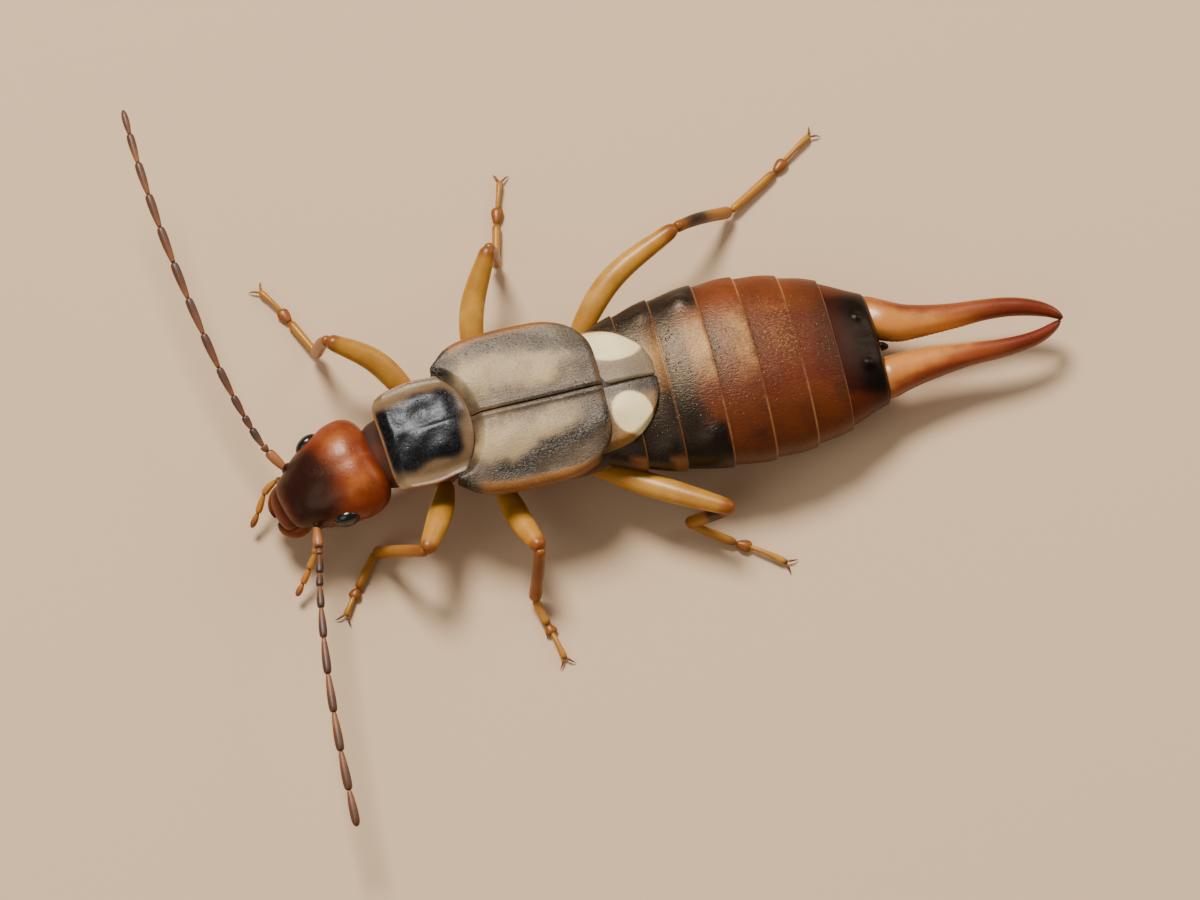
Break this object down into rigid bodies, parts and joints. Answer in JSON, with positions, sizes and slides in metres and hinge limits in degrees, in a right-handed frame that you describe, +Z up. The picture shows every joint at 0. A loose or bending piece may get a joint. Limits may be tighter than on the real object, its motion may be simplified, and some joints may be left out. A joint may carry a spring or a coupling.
{
  "type": "earwig",
  "caption": "Still, life-size winged earwig standing on its feet, with beaded antennae, short wing covers, a ringed abdomen and curved pincers at the tail.",
  "frame": {"origin": "middle of the underside of the model's box, on the floor under the front of the abdomen", "axes": "+X towards the tail, +Y to the insect's right, +Z up"},
  "size_m": [0.0186, 0.0162, 0.0031],
  "materials": {
    "head": "glossy orange-red horn, darkening to maroon black over the face",
    "mouthparts": "glossy translucent amber horn with red-brown tips",
    "eyes": "black, finely faceted, glossy",
    "antennae": "satin brown beads, warmer towards each base, with thin dark joints",
    "underside": "satin tan-brown horn",
    "pronotum": "black satin disc with pale, translucent side margins",
    "tegmina": "smoky, leathery, with a long pale centre and an amber margin",
    "wing_tips": "cream spot inside a dark grey-brown margin, satin",
    "abdomen": "black at the front turning mahogany, fine gold bloom, pale ring margins",
    "last_plate": "dark maroon to black, glossy",
    "forceps": "glossy amber horn turning mahogany towards the tips",
    "legs": "translucent golden amber horn with dark bands and dark claws"
  },
  "bodies": {
    "root": {"head": "head", "labrum": "mouthparts", "eye_right": "eyes", "eye_left": "eyes", "mandible_right": "mouthparts", "mandible_left": "mouthparts", "palp_right": "mouthparts", "palp_left": "mouthparts", "antenna_right": "antennae", "antenna_left": "antennae", "neck": "underside", "pronotum": "pronotum", "prothorax": "underside", "thorax": "underside", "tegmen_right": "tegmina", "tegmen_left": "tegmina", "wing_right": "wing_tips", "wing_left": "wing_tips", "abdomen": "abdomen", "last_plate": "last_plate", "forceps_right": "forceps", "forceps_left": "forceps", "leg_front_right": "legs", "leg_front_left": "legs", "leg_middle_right": "legs", "leg_middle_left": "legs", "leg_hind_right": "legs", "leg_hind_left": "legs"}
  },
  "joints": []
}
